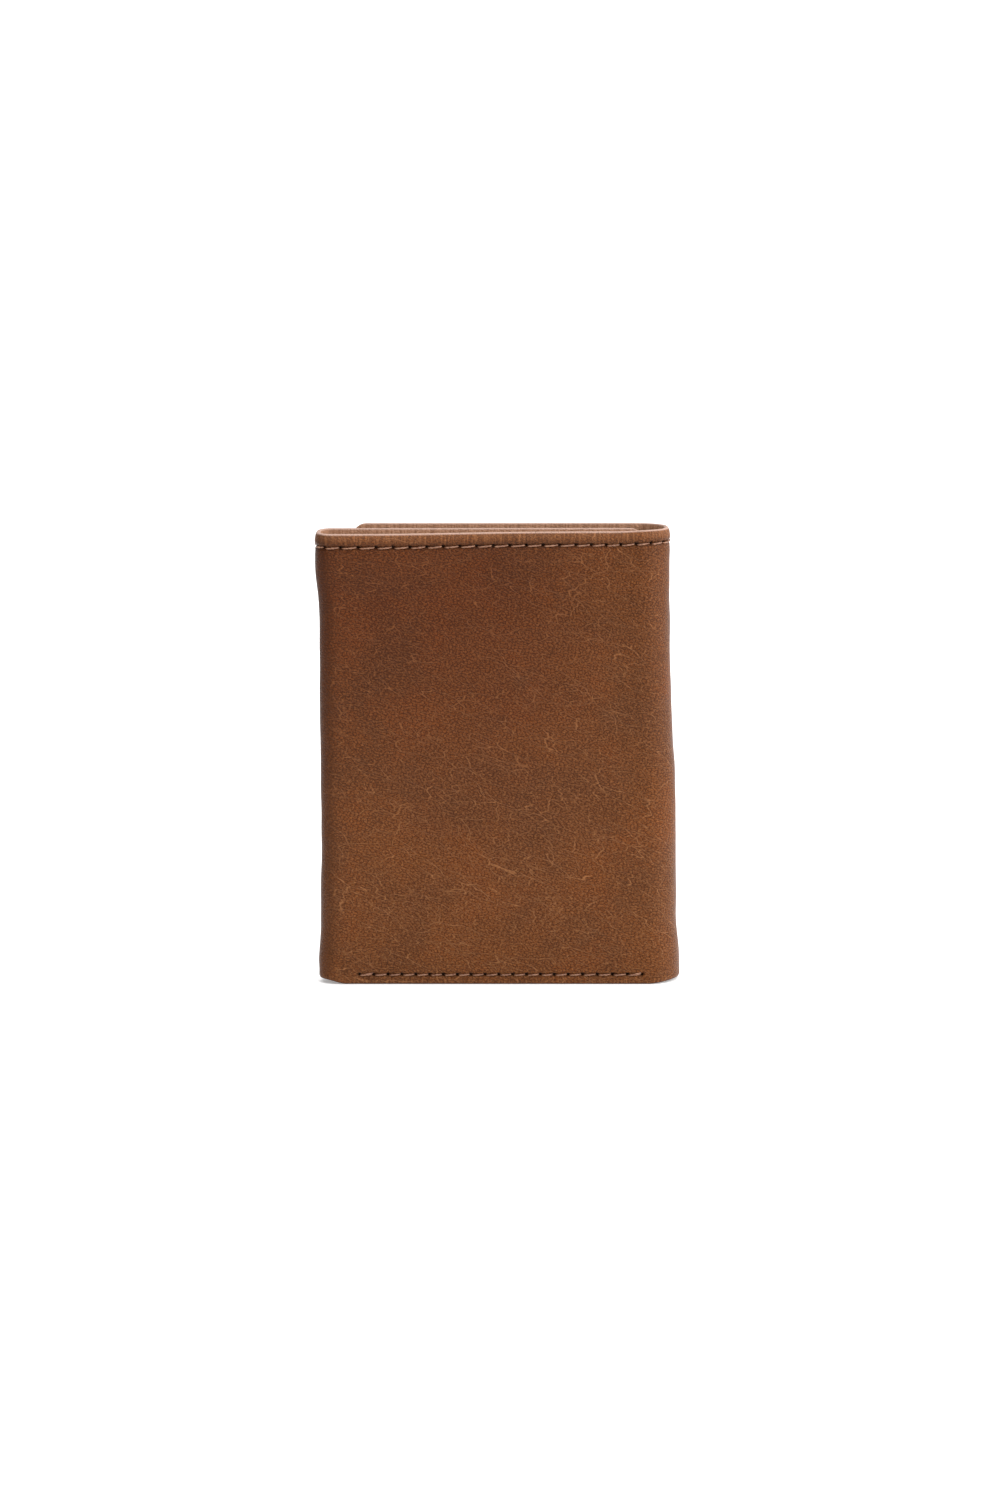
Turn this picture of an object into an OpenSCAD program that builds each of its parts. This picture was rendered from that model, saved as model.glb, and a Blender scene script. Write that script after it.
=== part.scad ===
// Trifold leather wallet, closed and standing on its bottom edge.
// The front panel faces -Y.  The inner flap folds behind it from the left (-X) side,
// and the outer flap folds over both from the right (+X) side.
// "Depth" is measured from a panel's outer leather face towards its pocket side.

/* [Size] */
// Width of the closed wallet, over both folds
wallet_w = 84; // [80:0.5:90]
// Height of the leather cover
wallet_h = 108; // [104:1:114]
// Thickness of the closed wallet, over the leather
wallet_t = 17; // [16:0.5:20]
// Thickness of the front panel and the inner flap folded on it
inner_fold_t = 8.2; // [8.2:0.1:8.6]

/* [Folds and flaps] */
// Outside corner radius of the left fold
left_corner_r = 3.6; // [3:0.1:4]
// Outside corner radius of the right fold
right_corner_r = 5.5; // [4:0.1:7]
// Distance from the right side to the inner flap's free end
inner_flap_short = 7.6; // [6.8:0.2:12]
// Distance from the left side to the outer flap's free end
outer_flap_short = 7.6; // [6:0.1:14]
// Corner radius at each flap's free end
end_corner_r = 3.5; // [1:0.5:6]

/* [Layers] */
// Thickness of the cover leather
cover_t = 1.0; // [0.8:0.05:1.1]
// Thickness of the leather turned in along the edges
hem_t = 0.8; // [0.6:0.05:0.85]
// Width of the leather turned in along the top edge
top_hem_w = 8; // [6:0.5:10]
// Width of the leather turned in along the bottom and the free ends
side_hem_w = 7; // [5:0.5:8]
// Thickness of the fibreboard stiffeners
stiffener_t = 0.3; // [0.2:0.05:0.3]
// Thickness of the fabric lining
lining_t = 0.2; // [0.1:0.05:0.25]
// Open depth of the banknote compartment
bill_gap = 0.4; // [0.35:0.05:0.45]
// Thickness of the inner wall of the banknote compartment
wall_t = 0.3; // [0.2:0.05:0.35]
// Thickness of each card pocket
pocket_t = 0.4; // [0.3:0.05:0.4]

/* [Pockets] */
// Height of the rear card pocket's mouth
pocket_mouth = 94; // [84:1:98]
// Drop from each card pocket's mouth to the next
pocket_step = 10; // [6:1:12]
// Width of a card pocket's opening between its two seams
card_opening = 60; // [56:1:62]
// Width of the identity window
window_w = 50; // [44:1:54]
// Height of the identity window
window_h = 66; // [50:1:70]
// Radius of the thumb notch over the window
notch_r = 6; // [4:0.5:7]

/* [Stitching] */
// Stitch pitch along the top edge
top_pitch = 3.9; // [3:0.1:4.5]
// Stitch pitch along the other seams
seam_pitch = 3.25; // [2.8:0.05:4]
// Distance from the top edge to its seam
top_seam_inset = 3.2; // [2.4:0.1:3.2]
// Distance from the other edges to their seams
seam_inset = 2.3; // [2:0.1:3]
// Diameter of the thread
thread_d = 0.6; // [0.4:0.05:0.7]

/* [Hidden] */
$fn = 48;
slip = 0.05;             // air between two stacked layers
fold_gap = 0.5;          // air between a fold strip and the panel beside it
stitch_space = 0.9;      // bare leather between two stitches
groove_d = 0.35;         // depth of the groove that an outside seam lies in
groove_w = 0.9;
outer_face = 0.32;       // depth of an outside stitch's centre, so that it lies flush
thread_sink = 0.1;       // how far an inside stitch's centre lies under the surface it is on
hem_thread_sink = 0.25;  // the same, inside the banknote compartment
thread_sides = 6;
bar_tack_offset = 0.75;  // second row of the short reinforcing stitches

half_w = wallet_w / 2;
half_t = wallet_t / 2;
front_y = -half_t;
inner_back_y = front_y + inner_fold_t;

left_x = -half_w + left_corner_r;     // where the left fold starts
right_x = half_w - right_corner_r;    // where the right fold starts
inner_end_x = half_w - inner_flap_short;
outer_end_x = -half_w + outer_flap_short;

// Depths of the layers, from the outer face
stiffener_d = cover_t;
lining_d = stiffener_d + stiffener_t;
wall_d = lining_d + lining_t + bill_gap;
pocket_d = wall_d + wall_t + slip;
pocket_pitch_d = pocket_t + slip;
pane_t = 0.25;
frame_d = pocket_d + pocket_pitch_d + pane_t + slip;
frame_t = 0.5;

// Heights
wall_top = wallet_h - 4;
wall_bottom = 0.8;
lining_top = wallet_h - top_hem_w - 0.3;
lining_bottom = side_hem_w + 0.3;
pocket_bottom = [12, 7, 1];
pocket_margin = 3.3;     // from a panel's end to its pockets
edge_margin = 0.6;       // how far the inner wall stays inside the cover's free end
frame_top = 88;
window_z = 12;
card_seam_margin = (card_opening + thread_d) / 2;

leather = [0.46, 0.27, 0.16];
inner_leather = [0.42, 0.25, 0.15];
fabric = [0.24, 0.16, 0.11];
board = [0.55, 0.47, 0.38];
thread = [0.36, 0.20, 0.13];
clear = [0.85, 0.88, 0.9, 0.4];

// ---------------------------------------------------------------- shared shapes

// Puts a panel's depth and height axes in place: depth becomes the second axis.
module on_front() translate([0, front_y, 0]) children();
module on_inner_flap() translate([0, inner_back_y, 0]) mirror([0, 1, 0]) children();
module on_outer_flap() translate([0, half_t, 0]) mirror([0, 1, 0]) children();

// A rectangle from x0 to x1 and z0 to z1, with its left corners rounded by rl and its right by rr.
module round_rect(x0, x1, z0, z1, rl = 0, rr = 0) {
  translate([x0 + rl, z0]) square([x1 - x0 - rl - rr, z1 - z0]);
  if (rl > 0) {
    translate([x0, z0 + rl]) square([rl + slip, z1 - z0 - 2 * rl]);
    for (z = [z0 + rl, z1 - rl]) translate([x0 + rl, z]) circle(rl);
  }
  if (rr > 0) {
    translate([x1 - rr - slip, z0 + rr]) square([rr + slip, z1 - z0 - 2 * rr]);
    for (z = [z0 + rr, z1 - rr]) translate([x1 - rr, z]) circle(rr);
  }
}

// Extrudes a shape drawn in x and z from depth d0 to depth d1.
module sheet(d0, d1) translate([0, d1, 0]) rotate([90, 0, 0]) linear_extrude(d1 - d0) children();

// A shallow slot in the outer face, round a seam from x0 to x1 and z0 to z1.
module groove(x0, x1, z0, z1) translate([x0 - groove_w / 2, -1, z0 - groove_w / 2])
  cube([x1 - x0 + groove_w, 1 + groove_d, z1 - z0 + groove_w]);

// A leather panel with its edges turned in: along the top, the bottom and any rounded end.
// seam is where the bottom seam starts and ends.
module cover_panel(x0, x1, rl, rr, seam) {
  hem_left = rl > 0 ? side_hem_w : -1;
  hem_right = rr > 0 ? side_hem_w : -1;
  top_z = wallet_h - top_seam_inset;
  difference() {
    sheet(0, cover_t) round_rect(x0, x1, 0, wallet_h, rl, rr);
    groove(rl > 0 ? x0 + seam_inset : x0 - 1, rr > 0 ? x1 - seam_inset : x1 + 1, top_z, top_z);
    groove(seam[0], seam[1], seam_inset, seam_inset + bar_tack_offset);
    if (rl > 0) groove(x0 + seam_inset, x0 + seam_inset, seam_inset, top_z);
    if (rr > 0) groove(x1 - seam_inset, x1 - seam_inset, seam_inset, top_z);
  }
  sheet(cover_t, cover_t + hem_t) difference() {
    round_rect(x0, x1, 0, wallet_h, rl, rr);
    translate([x0 + hem_left, side_hem_w])
      square([x1 - x0 - hem_left - hem_right, wallet_h - side_hem_w - top_hem_w]);
  }
}

module stiffener_panel(x0, x1) {
  sheet(stiffener_d, stiffener_d + stiffener_t)
    round_rect(x0 + side_hem_w + slip, x1 - side_hem_w - slip, lining_bottom, lining_top);
}

module lining_panel(x0, x1) sheet(lining_d, lining_d + lining_t) round_rect(x0, x1, lining_bottom, lining_top);

module wall_panel(x0, x1, rl = 0, rr = 0)
  sheet(wall_d, wall_d + wall_t) round_rect(x0, x1, wall_bottom, wall_top, rl, rr);

// One card pocket: order 0 is the rear one, whose mouth is the highest.
module card_pocket(x0, x1, order) {
  d = pocket_d + order * pocket_pitch_d;
  sheet(d, d + pocket_t) round_rect(x0 + pocket_margin, x1 - pocket_margin,
    pocket_bottom[order], pocket_mouth - order * pocket_step);
}

// ---------------------------------------------------------------- fold strips

// The plan of a fold strip from depth d0 to d1, round a fold of thickness t and corner radius r.
// It starts at x = 0 on the front face, bulges to x = r, and ends at x = 0 on the back.
module fold_plan(t, r, d0, d1) {
  for (back = [0, 1]) translate([0, back ? t - r : r]) intersection() {
    difference() {
      circle(r - d0);
      circle(r - d1);
    }
    translate([fold_gap, back ? 0 : -r]) square([r, r]);
  }
  translate([r - d1, r - slip]) square([d1 - d0, t - 2 * r + 2 * slip]);
}

module fold_strip(t, r, d0, d1, z0, z1) translate([0, 0, z0]) linear_extrude(z1 - z0) fold_plan(t, r, d0, d1);

module cover_fold(t, r) {
  difference() {
    fold_strip(t, r, 0, cover_t, 0, wallet_h);
    for (back = [0, 1]) translate([0, back ? t - r : r, wallet_h - top_seam_inset - groove_w / 2])
      groove_ring(r);
    translate([r - groove_d, r, wallet_h - top_seam_inset - groove_w / 2]) cube([2, t - 2 * r, groove_w]);
  }
  fold_strip(t, r, cover_t - slip, cover_t + hem_t, 0, side_hem_w);
  fold_strip(t, r, cover_t - slip, cover_t + hem_t, wallet_h - top_hem_w, wallet_h);
}

// A ring that cuts a groove round a fold's corner.
module groove_ring(r) difference() {
  cylinder(h = groove_w, r = r + 1);
  translate([0, 0, -1]) cylinder(h = groove_w + 2, r = r - groove_d);
}

module on_left_fold() translate([left_x, front_y, 0]) mirror([1, 0, 0]) children();
module on_right_fold() translate([right_x, front_y, 0]) children();

// ---------------------------------------------------------------- stitches

module stitch(length) rotate([0, 90, 0]) cylinder(h = length, d = thread_d, center = true, $fn = thread_sides);

// A row of stitches along x at height z, on the face at depth d.
module stitch_row(x0, x1, z, d, pitch) {
  count = floor((x1 - x0) / pitch);
  first = (x0 + x1 - (count - 1) * pitch) / 2;
  for (i = [0 : count - 1]) translate([first + i * pitch, d, z]) stitch(pitch - stitch_space);
}

// A column of stitches up z at x, on the face at depth d.
module stitch_column(x, z0, z1, d, pitch) {
  count = floor((z1 - z0) / pitch);
  first = (z0 + z1 - (count - 1) * pitch) / 2;
  for (i = [0 : count - 1]) translate([x, d, first + i * pitch]) rotate([0, 90, 0]) stitch(pitch - stitch_space);
}

hem_face = cover_t + hem_t - hem_thread_sink;
stack_face = pocket_d + 3 * pocket_pitch_d - slip - thread_sink;
frame_face = frame_d + frame_t - thread_sink;

// The cover's own seam along the top edge, seen on the leather and inside the compartment.
module top_seam(x0, x1) for (d = [outer_face, hem_face]) stitch_row(x0, x1, wallet_h - top_seam_inset, d, top_pitch);

// The seam that closes a panel's bottom edge, with two short reinforcing stitches at each end.
module bottom_seam(seam, inner_d) {
  for (d = [outer_face, inner_d]) stitch_row(seam[0], seam[1], seam_inset, d, seam_pitch);
  for (x = [seam[0] + seam_pitch / 2, seam[1] - seam_pitch / 2])
    translate([x, outer_face, seam_inset + bar_tack_offset]) stitch(seam_pitch - stitch_space);
}

module end_seam(x, inner_d) for (d = [outer_face, inner_d])
  stitch_column(x, seam_inset + seam_pitch, wallet_h - top_seam_inset - seam_pitch - 2.5, d, seam_pitch);

module pocket_seams(x0, x1) {
  centre = (x0 + x1) / 2;
  for (side = [-1, 1]) stitch_column(centre + side * card_seam_margin, seam_inset + seam_pitch,
    pocket_mouth - 2 * pocket_step - 1, stack_face, seam_pitch);
}

// Stitches round a fold: short ones along both corners, and one across a wide fold's middle.
module fold_seam(t, r) {
  per_corner = ceil(PI / 2 * r / top_pitch);
  step = 90 / per_corner;
  for (back = [0, 1]) for (i = [0 : per_corner - 1]) {
    turn = (back ? 90 : 0) + (i + 0.5) * step;
    translate([0, back ? t - r : r, wallet_h - top_seam_inset]) rotate([0, 0, turn])
      translate([0, -(r - outer_face), 0]) stitch(PI / 180 * step * r - stitch_space);
  }
  if (t - 2 * r > top_pitch) translate([r - outer_face, t / 2, wallet_h - top_seam_inset])
    rotate([0, 0, 90]) stitch(top_pitch - stitch_space);
}

// ---------------------------------------------------------------- front panel

front_x0 = left_x;
front_x1 = right_x;
front_seam = [front_x0 + 4.5, front_x1 - 3.5];
module cover_front() color(leather) on_front() cover_panel(front_x0, front_x1, 0, 0, front_seam);
module stiffener_front() color(board) on_front() stiffener_panel(front_x0 - 4, front_x1 + 4);
module lining_front() color(fabric) on_front() lining_panel(front_x0, front_x1);
module bill_wall_front() color(inner_leather) on_front() wall_panel(front_x0, front_x1);
module front_card_pocket(order) color(inner_leather) on_front() card_pocket(front_x0, front_x1, order);
module front_top_stitching() color(thread) on_front() top_seam(front_x0, front_x1);
module front_bottom_stitching() color(thread) on_front()
  bottom_seam(front_seam, stack_face);
module front_pocket_stitching() color(thread) on_front() pocket_seams(front_x0, front_x1);

// ---------------------------------------------------------------- left fold

module cover_left_fold() color(leather) on_left_fold() cover_fold(inner_fold_t, left_corner_r);
module lining_left_fold() color(fabric) on_left_fold()
  fold_strip(inner_fold_t, left_corner_r, lining_d, lining_d + lining_t, lining_bottom, lining_top);
module bill_wall_left_fold() color(inner_leather) on_left_fold()
  fold_strip(inner_fold_t, left_corner_r, wall_d, wall_d + wall_t, wall_bottom, wall_top);
module left_fold_top_stitching() color(thread) on_left_fold() fold_seam(inner_fold_t, left_corner_r);

// ---------------------------------------------------------------- inner flap

inner_seam = [left_x + 4.5, inner_end_x - seam_inset];
module cover_inner_flap() color(leather) on_inner_flap()
  cover_panel(left_x, inner_end_x, 0, end_corner_r, inner_seam);
module stiffener_inner_flap() color(board) on_inner_flap() stiffener_panel(left_x - 4, inner_end_x);
module lining_inner_flap() color(fabric) on_inner_flap() lining_panel(left_x, inner_end_x - side_hem_w - slip);
module bill_wall_inner_flap() color(inner_leather) on_inner_flap()
  wall_panel(left_x, inner_end_x - edge_margin, 0, end_corner_r - edge_margin);
module inner_card_pocket(order) color(inner_leather) on_inner_flap()
  card_pocket(left_x, inner_end_x - edge_margin + pocket_margin - slip, order);
module inner_top_stitching() color(thread) on_inner_flap() top_seam(left_x, inner_end_x - seam_inset);
module inner_bottom_stitching() color(thread) on_inner_flap()
  bottom_seam(inner_seam, stack_face);
module inner_end_stitching() color(thread) on_inner_flap() end_seam(inner_end_x - seam_inset, hem_face);
module inner_pocket_stitching() color(thread) on_inner_flap() pocket_seams(left_x, inner_end_x);

// ---------------------------------------------------------------- right fold

module cover_right_fold() color(leather) on_right_fold() cover_fold(wallet_t, right_corner_r);
module lining_right_fold() color(fabric) on_right_fold()
  fold_strip(wallet_t, right_corner_r, lining_d, lining_d + lining_t, lining_bottom, lining_top);
module bill_wall_right_fold() color(inner_leather) on_right_fold()
  fold_strip(wallet_t, right_corner_r, wall_d, wall_d + wall_t, wall_bottom, wall_top);
module right_fold_top_stitching() color(thread) on_right_fold() fold_seam(wallet_t, right_corner_r);

// ---------------------------------------------------------------- outer flap

frame_x0 = outer_end_x + edge_margin;
frame_x1 = right_x - pocket_margin;
window_x = (frame_x0 + frame_x1 - window_w) / 2;
outer_seam = [outer_end_x + seam_inset, right_x - 3.5];
module cover_outer_flap() color(leather) on_outer_flap()
  cover_panel(outer_end_x, right_x, end_corner_r, 0, outer_seam);
module stiffener_outer_flap() color(board) on_outer_flap() stiffener_panel(outer_end_x, right_x + 4);
module lining_outer_flap() color(fabric) on_outer_flap() lining_panel(outer_end_x + side_hem_w + slip, right_x);
module bill_wall_outer_flap() color(inner_leather) on_outer_flap()
  wall_panel(outer_end_x + edge_margin, right_x, end_corner_r - edge_margin, 0);
module slip_pocket() color(inner_leather) on_outer_flap()
  sheet(pocket_d, pocket_d + pocket_t) round_rect(frame_x0, frame_x1, 1, frame_top + 6);
module id_window_pane() color(clear) on_outer_flap()
  sheet(pocket_d + pocket_pitch_d, pocket_d + pocket_pitch_d + pane_t)
    round_rect(frame_x0 + 3, frame_x1 - 3, 5, frame_top - 3);
module id_window_frame() color(inner_leather) on_outer_flap() sheet(frame_d, frame_d + frame_t)
  difference() {
    round_rect(frame_x0, frame_x1, 1, frame_top);
    round_rect(window_x, window_x + window_w, window_z, window_z + window_h, 3, 3);
    translate([window_x + window_w / 2, frame_top]) circle(notch_r);
  }
module outer_top_stitching() color(thread) on_outer_flap() top_seam(outer_end_x + seam_inset, right_x);
module outer_bottom_stitching() color(thread) on_outer_flap()
  bottom_seam(outer_seam, frame_face);
module outer_end_stitching() color(thread) on_outer_flap() end_seam(outer_end_x + seam_inset, hem_face);
module id_window_stitching() color(thread) on_outer_flap() {
  for (z = [window_z - seam_inset, window_z + window_h + seam_inset])
    stitch_row(window_x, window_x + window_w, z, frame_face, seam_pitch);
  for (x = [window_x - seam_inset, window_x + window_w + seam_inset])
    stitch_column(x, window_z, window_z + window_h, frame_face, seam_pitch);
}

// ---------------------------------------------------------------- assembly

cover_front();
stiffener_front();
lining_front();
bill_wall_front();
front_card_pocket(0);  // front_card_pocket_rear
front_card_pocket(1);  // front_card_pocket_centre
front_card_pocket(2);  // front_card_pocket_fore
front_top_stitching();
front_bottom_stitching();
front_pocket_stitching();
cover_left_fold();
lining_left_fold();
bill_wall_left_fold();
left_fold_top_stitching();
cover_inner_flap();
stiffener_inner_flap();
lining_inner_flap();
bill_wall_inner_flap();
inner_card_pocket(0);  // inner_card_pocket_rear
inner_card_pocket(1);  // inner_card_pocket_centre
inner_card_pocket(2);  // inner_card_pocket_fore
inner_top_stitching();
inner_bottom_stitching();
inner_end_stitching();
inner_pocket_stitching();
cover_right_fold();
lining_right_fold();
bill_wall_right_fold();
right_fold_top_stitching();
cover_outer_flap();
stiffener_outer_flap();
lining_outer_flap();
bill_wall_outer_flap();
slip_pocket();
id_window_pane();
id_window_frame();
outer_top_stitching();
outer_bottom_stitching();
outer_end_stitching();
id_window_stitching();
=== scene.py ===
"""Looks of the trifold wallet: one leather skin that folds round both flaps, with its seams and pockets."""
import math

import bpy
import numpy as np
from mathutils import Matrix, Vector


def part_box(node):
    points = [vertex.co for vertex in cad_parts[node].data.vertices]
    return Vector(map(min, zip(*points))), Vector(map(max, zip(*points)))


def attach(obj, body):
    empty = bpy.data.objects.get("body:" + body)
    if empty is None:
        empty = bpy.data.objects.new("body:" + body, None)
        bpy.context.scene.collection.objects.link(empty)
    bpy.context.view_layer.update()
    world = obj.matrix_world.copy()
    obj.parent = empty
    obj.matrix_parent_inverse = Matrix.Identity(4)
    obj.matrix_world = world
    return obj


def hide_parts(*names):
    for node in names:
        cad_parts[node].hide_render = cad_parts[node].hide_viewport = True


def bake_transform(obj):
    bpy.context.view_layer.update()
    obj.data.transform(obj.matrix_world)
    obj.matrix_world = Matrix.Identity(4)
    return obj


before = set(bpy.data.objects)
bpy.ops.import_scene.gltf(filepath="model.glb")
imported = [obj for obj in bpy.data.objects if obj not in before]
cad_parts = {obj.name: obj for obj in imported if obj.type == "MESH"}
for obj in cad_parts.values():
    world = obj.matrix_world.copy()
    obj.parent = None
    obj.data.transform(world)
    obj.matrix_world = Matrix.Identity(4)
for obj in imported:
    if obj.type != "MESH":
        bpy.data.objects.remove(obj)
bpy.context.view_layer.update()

MM = 0.001
MAP_MM = 100  # millimetres to one unit of a piece's texture map


def cad(node):
    """A node's lowest and highest corners, in millimetres."""
    return [np.array(corner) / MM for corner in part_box(node)]


# ---------------------------------------------------------------- sizes, in millimetres

front_lo, front_hi = cad("cover_front")
left_lo = cad("cover_left_fold")[0]
right_hi = cad("cover_right_fold")[1]
inner_hi = cad("cover_inner_flap")[1]
outer_lo, outer_hi = cad("cover_outer_flap")

H = front_hi[2]
LEFT_X, RIGHT_X = left_lo[0], right_hi[0]
FRONT_Y, INNER_Y, OUTER_Y = front_lo[1], inner_hi[1], outer_hi[1]
OUTER_END_X, INNER_END_X = outer_lo[0], inner_hi[0]

RIGHT_R = 7.5  # the soft right fold's corners, rounder than the CAD strip's
LEFT_R = 3.6
COVER_T = 1.0
HEM_D = front_hi[1] - front_lo[1]  # depth of the turned-in leather's inner face
TOP_HEM, SIDE_HEM = 8.0, 7.0
END_CORNER = 3.5
LINING_D = cad("lining_front")[0][1] - FRONT_Y
LINING_T = 0.2
WALL_D = cad("bill_wall_front")[0][1] - FRONT_Y
WALL_T = 0.3
WALL_BOTTOM, WALL_TOP = cad("bill_wall_front")[0][2], cad("bill_wall_front")[1][2]

TOP_SEAM_Z = cad("front_top_stitching")[0][2] + 0.3
LOW_SEAM_Z = 2.3
SEAM_INSET = 2.3
TOP_PITCH, SEAM_PITCH = 3.9, 3.25
LOW_RIGHT_X, LOW_LEFT_X = 33.0, -33.9  # how far the bottom seams run towards each fold
LOW_LEFT_SHORT = 1.3  # how much sooner the front's bottom seam ends at the left than in the CAD
THREAD_R = 0.2

# ---------------------------------------------------------------- the wallet's plan

# Along the outer face, in order: outer flap, right fold (corner, back, corner), front panel,
# left fold (corner, back, corner), inner flap. u is the length along that face.
FLAP_OUT = RIGHT_X - RIGHT_R - OUTER_END_X
ARC_R = math.pi / 2 * RIGHT_R
BACK_R = OUTER_Y - FRONT_Y - 2 * RIGHT_R
FRONT = RIGHT_X - RIGHT_R - (LEFT_X + LEFT_R)
ARC_L = math.pi / 2 * LEFT_R
BACK_L = INNER_Y - FRONT_Y - 2 * LEFT_R
FLAP_IN = INNER_END_X - (LEFT_X + LEFT_R)
BREAKS = np.cumsum([0, FLAP_OUT, ARC_R, BACK_R, ARC_R, FRONT, ARC_L, BACK_L, ARC_L, FLAP_IN])
U_END = BREAKS[-1]
U_RIGHT = (BREAKS[2] + BREAKS[3]) / 2  # the middle of the right fold
U_FRONT = (BREAKS[4] + BREAKS[5]) / 2
U_LEFT = (BREAKS[6] + BREAKS[7]) / 2

rx, lx = RIGHT_X - RIGHT_R, LEFT_X + LEFT_R


def smooth(t):
    t = np.clip(t, 0, 1)
    return t * t * (3 - 2 * t)


def fade(x, start, end):
    """0 before start, 1 after end; start may be the higher of the two."""
    return smooth((x - start) / (end - start))


def right_bulge(z):
    """How far the right fold stands out: slack at the top, full at the bottom."""
    return -1.6 + 1.9 * fade(z, 82, 34) + 1.0 * fade(z, 16, 3)


def left_bulge(z):
    """How far the left fold stands out: most at the top, where its hem stiffens it."""
    return 0.9 * fade(z, 86, 101) - 0.15 * fade(z, 20, 40) + 0.4 * fade(z, 14, 4)


def lean(x, z):
    """How far the front panel's top edge leans back against the layers behind it, most at the right."""
    return 2.7 * fade(z, 84, 106) * fade(x, -38, 30)


def sag(x, z):
    """How far the front panel's top edge sits below the others, most at the left."""
    return fade(z, 88, 103) * (0.36 * fade(x, 38, 28) + 0.32 * fade(x, 8, -30))


def lift(x, z):
    """How far the bottom edge is drawn up at the soft folds."""
    return fade(z, 7, 0) * (1.0 * fade(x, -35.5, -40.5) + 0.6 * fade(x, 34, 41))


def place(u, z, d):
    """Points of the wallet's skin at length u, height z and depth d under its outer face."""
    u, z, d = np.broadcast_arrays(np.asarray(u, float), np.asarray(z, float), np.asarray(d, float))
    x, y, nx, ny = (np.zeros(u.shape) for _ in range(4))
    part = np.clip(np.searchsorted(BREAKS, u, side="right") - 1, 0, len(BREAKS) - 2)
    t = u - BREAKS[part]

    def flat(which, x0, y0, dx, dy, normal):
        m = part == which
        x[m], y[m] = x0 + dx * t[m], y0 + dy * t[m]
        nx[m], ny[m] = normal

    def corner(which, cx, cy, r, start):
        m = part == which
        a = start - t[m] / r
        nx[m], ny[m] = np.cos(a), np.sin(a)
        x[m], y[m] = cx + r * nx[m], cy + r * ny[m]

    flat(0, OUTER_END_X, OUTER_Y, 1, 0, (0, 1))
    corner(1, rx, OUTER_Y - RIGHT_R, RIGHT_R, math.pi / 2)
    flat(2, RIGHT_X, OUTER_Y - RIGHT_R, 0, -1, (1, 0))
    corner(3, rx, FRONT_Y + RIGHT_R, RIGHT_R, 0)
    flat(4, rx, FRONT_Y, -1, 0, (0, -1))
    corner(5, lx, FRONT_Y + LEFT_R, LEFT_R, -math.pi / 2)
    flat(6, LEFT_X, FRONT_Y + LEFT_R, 0, 1, (-1, 0))
    corner(7, lx, INNER_Y - LEFT_R, LEFT_R, -math.pi)
    flat(8, lx, INNER_Y, 1, 0, (0, 1))
    x, y = x - nx * d, y - ny * d
    right = np.where(part <= 4, fade(x, 16, 37), 0) * right_bulge(z)
    left = np.where(part >= 4, fade(x, -24, -39), 0) * left_bulge(z)
    back = np.where(part <= 4, lean(x, z) * np.clip((OUTER_Y - y) / (OUTER_Y - FRONT_Y), 0, 1), 0)
    down = sag(x, z) * np.clip((INNER_Y - y) / (INNER_Y - FRONT_Y), 0, 1)
    return np.stack([x + right - left, y + back, z + lift(x, z) - down], -1)


def u_outer(x):
    return x - OUTER_END_X


def u_front(x):
    return BREAKS[4] + rx - x


def u_inner(x):
    return BREAKS[8] + x - lx


INSIDE = 1000.0  # added to u on the map of the cover's inner face, so that it takes its own finish

# Where the seams run on the skin
TOP_ROW = (SEAM_INSET, U_END - SEAM_INSET)
TOP_COUNT = round((TOP_ROW[1] - TOP_ROW[0]) / TOP_PITCH)
TOP_STEP = (TOP_ROW[1] - TOP_ROW[0]) / TOP_COUNT
LOW_ROWS = [(SEAM_INSET, u_outer(LOW_RIGHT_X)), (u_front(LOW_RIGHT_X), u_front(LOW_LEFT_X + LOW_LEFT_SHORT)),
            (u_inner(LOW_LEFT_X), U_END - SEAM_INSET)]
END_COLUMNS = [SEAM_INSET, U_END - SEAM_INSET]

rng = np.random.default_rng(7)


# ---------------------------------------------------------------- mesh helpers

def normals_of(points, faces):
    """Smooth vertex normals of a quad mesh."""
    quads = points[faces]
    n = np.cross(quads[:, 2] - quads[:, 0], quads[:, 3] - quads[:, 1])
    out = np.zeros_like(points)
    for k in range(4):
        np.add.at(out, faces[:, k], n)
    length = np.linalg.norm(out, axis=1, keepdims=True)
    return out / np.maximum(length, 1e-12)


def make(name, points, faces, material, uv=None, normals=None):
    """A mesh object from points in millimetres. uv is a flat (length, height) place for each point."""
    mesh = bpy.data.meshes.new(name)
    mesh.from_pydata((points * MM).tolist(), [], faces.tolist() if hasattr(faces, "tolist") else faces)
    mesh.polygons.foreach_set("use_smooth", np.ones(len(mesh.polygons), bool))
    if uv is not None:
        layer = mesh.uv_layers.new(name="skin")
        index = np.empty(len(mesh.loops), np.int32)
        mesh.loops.foreach_get("vertex_index", index)
        layer.data.foreach_set("uv", (uv[index] / MAP_MM).astype(np.float32).ravel())
    mesh.materials.append(material)
    mesh.validate(clean_customdata=False)
    if normals is not None:
        mesh.normals_split_custom_set_from_vertices(normals.tolist())
    obj = bpy.data.objects.new(name, mesh)
    bpy.context.scene.collection.objects.link(obj)
    return obj


def grid_faces(rows, cols, wrap=False):
    """Quads over a rows by cols grid of points; wrap closes the last column onto the first."""
    r, c = np.meshgrid(np.arange(rows - 1), np.arange(cols if wrap else cols - 1), indexing="ij")
    n = (c + 1) % cols
    return np.stack([r * cols + c, r * cols + n, (r + 1) * cols + n, (r + 1) * cols + c], -1).reshape(-1, 4)


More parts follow.
